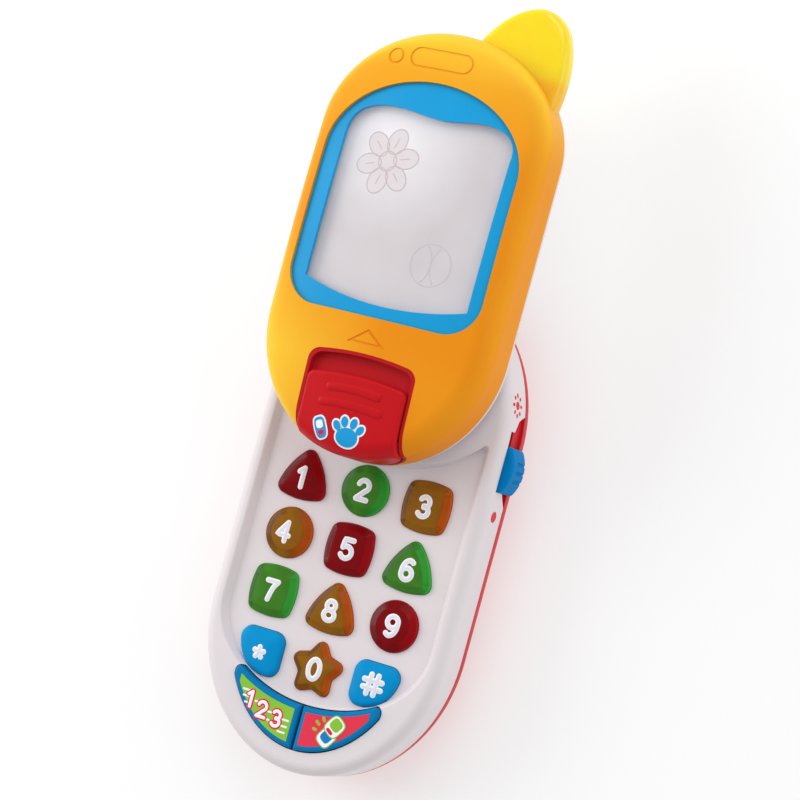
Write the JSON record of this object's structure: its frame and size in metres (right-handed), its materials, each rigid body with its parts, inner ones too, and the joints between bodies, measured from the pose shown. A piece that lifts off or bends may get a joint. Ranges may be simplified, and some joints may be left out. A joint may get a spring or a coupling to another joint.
{
  "type": "toy cell phone",
  "caption": "Toddler's slide-open toy cell phone with shaped keys, an orange slider with a screen, a thumb pad and a light-up antenna.",
  "frame": {"origin": "centre of the flat back of the base, on the surface it lies on", "axes": "+X across the keypad, +Y along the phone towards the antenna, +Z out of the keypad"},
  "size_m": [0.0685, 0.1953, 0.0426],
  "materials": {
    "white_shell": "satin",
    "red_shell": "satin",
    "orange_shell": "satin gloss",
    "blue_border": "gloss",
    "clear_window": "clear",
    "milky_panel": "milky translucent",
    "dark_red_tray": "satin",
    "red_thumb": "satin gloss",
    "yellow_antenna": "translucent",
    "blue_rubber": "matte",
    "blue_key": "gloss",
    "blue_switch": "satin",
    "red_key": "translucent",
    "green_key": "translucent",
    "amber_key": "translucent",
    "screw_steel": "zinc plated",
    "contact_metal": "nickel plated",
    "speaker_steel": "plated",
    "speaker_paper": "matte film",
    "cell_wrap": "shrink wrap",
    "circuit_board": "solder mask",
    "black_component": "matte",
    "membrane_rubber": "matte",
    "guide_plastic": "matte",
    "ribbon_film": "film",
    "white_light": "clear"
  },
  "bodies": {
    "base": {"base_front_shell": "white_shell", "base_rear_shell": "red_shell", "battery_door": "red_shell", "battery_door_screw": "screw_steel", "base_shell_screws": "screw_steel", "guide_screws": "screw_steel", "main_circuit_board": "circuit_board", "switch_board": "circuit_board", "keypad_membrane": "membrane_rubber", "sound_chip": "black_component", "speaker_cone": "speaker_paper", "speaker_frame": "speaker_steel", "speaker_magnet": "speaker_steel", "battery_cell_1": "cell_wrap", "battery_cell_2": "cell_wrap", "battery_springs": "contact_metal", "battery_contact_plates": "contact_metal", "slide_switch": "black_component", "guide_plate": "guide_plastic", "link_ribbon": "ribbon_film"},
    "slider": {"slider_front_shell": "orange_shell", "slider_rear_shell": "white_shell", "screen_border": "blue_border", "screen_window": "clear_window", "screen_panel": "milky_panel", "thumb_tray": "dark_red_tray", "thumb_switch": "black_component", "antenna": "yellow_antenna", "screen_lights": "white_light", "antenna_light": "white_light", "slider_circuit_board": "circuit_board", "slider_screws": "screw_steel", "thumb_spring": "contact_metal"},
    "thumb_slide": {"thumb_slide": "red_thumb"},
    "side_switch": {"side_switch_knob": "blue_switch", "switch_lever": "black_component"},
    "key_0": {"key_0": "amber_key"},
    "key_1": {"key_1": "red_key"},
    "key_2": {"key_2": "green_key"},
    "key_3": {"key_3": "amber_key"},
    "key_4": {"key_4": "amber_key"},
    "key_5": {"key_5": "red_key"},
    "key_6": {"key_6": "green_key"},
    "key_7": {"key_7": "green_key"},
    "key_8": {"key_8": "amber_key"},
    "key_9": {"key_9": "red_key"},
    "key_star": {"key_star": "blue_key"},
    "key_hash": {"key_hash": "blue_key"},
    "crescent_button_left": {"crescent_button_left": "blue_rubber"},
    "crescent_button_right": {"crescent_button_right": "blue_rubber"}
  },
  "joints": [
    {"name": "slider_slide", "type": "slide", "parent": "base", "child": "slider", "axis": [0, 1, 0], "range_m": [-0.056, 0], "deforming": ["link_ribbon"]},
    {"name": "thumb_push", "type": "slide", "parent": "slider", "child": "thumb_slide", "axis": [0, 1, 0], "range_m": [0, 0.0035], "stiffness_N_per_m": 300, "springref_m": -0.002, "deforming": ["thumb_spring"]},
    {"name": "side_switch_slide", "type": "slide", "parent": "base", "child": "side_switch", "axis": [0, 1, 0], "range_m": [0, 0.0036]},
    {"name": "key_0_press", "type": "slide", "parent": "base", "child": "key_0", "axis": [0, 0, 1], "range_m": [-0.001, 0], "stiffness_N_per_m": 400, "springref_m": 0.0008},
    {"name": "key_1_press", "type": "slide", "parent": "base", "child": "key_1", "axis": [0, 0, 1], "range_m": [-0.001, 0], "stiffness_N_per_m": 400, "springref_m": 0.0008},
    {"name": "key_2_press", "type": "slide", "parent": "base", "child": "key_2", "axis": [0, 0, 1], "range_m": [-0.001, 0], "stiffness_N_per_m": 400, "springref_m": 0.0008},
    {"name": "key_3_press", "type": "slide", "parent": "base", "child": "key_3", "axis": [0, 0, 1], "range_m": [-0.001, 0], "stiffness_N_per_m": 400, "springref_m": 0.0008},
    {"name": "key_4_press", "type": "slide", "parent": "base", "child": "key_4", "axis": [0, 0, 1], "range_m": [-0.001, 0], "stiffness_N_per_m": 400, "springref_m": 0.0008},
    {"name": "key_5_press", "type": "slide", "parent": "base", "child": "key_5", "axis": [0, 0, 1], "range_m": [-0.001, 0], "stiffness_N_per_m": 400, "springref_m": 0.0008},
    {"name": "key_6_press", "type": "slide", "parent": "base", "child": "key_6", "axis": [0, 0, 1], "range_m": [-0.001, 0], "stiffness_N_per_m": 400, "springref_m": 0.0008},
    {"name": "key_7_press", "type": "slide", "parent": "base", "child": "key_7", "axis": [0, 0, 1], "range_m": [-0.001, 0], "stiffness_N_per_m": 400, "springref_m": 0.0008},
    {"name": "key_8_press", "type": "slide", "parent": "base", "child": "key_8", "axis": [0, 0, 1], "range_m": [-0.001, 0], "stiffness_N_per_m": 400, "springref_m": 0.0008},
    {"name": "key_9_press", "type": "slide", "parent": "base", "child": "key_9", "axis": [0, 0, 1], "range_m": [-0.001, 0], "stiffness_N_per_m": 400, "springref_m": 0.0008},
    {"name": "key_star_press", "type": "slide", "parent": "base", "child": "key_star", "axis": [0, 0, 1], "range_m": [-0.001, 0], "stiffness_N_per_m": 400, "springref_m": 0.0008},
    {"name": "key_hash_press", "type": "slide", "parent": "base", "child": "key_hash", "axis": [0, 0, 1], "range_m": [-0.001, 0], "stiffness_N_per_m": 400, "springref_m": 0.0008},
    {"name": "crescent_button_left_press", "type": "slide", "parent": "base", "child": "crescent_button_left", "axis": [0, 0, 1], "range_m": [-0.001, 0], "stiffness_N_per_m": 400, "springref_m": 0.0008},
    {"name": "crescent_button_right_press", "type": "slide", "parent": "base", "child": "crescent_button_right", "axis": [0, 0, 1], "range_m": [-0.001, 0], "stiffness_N_per_m": 400, "springref_m": 0.0008}
  ]
}
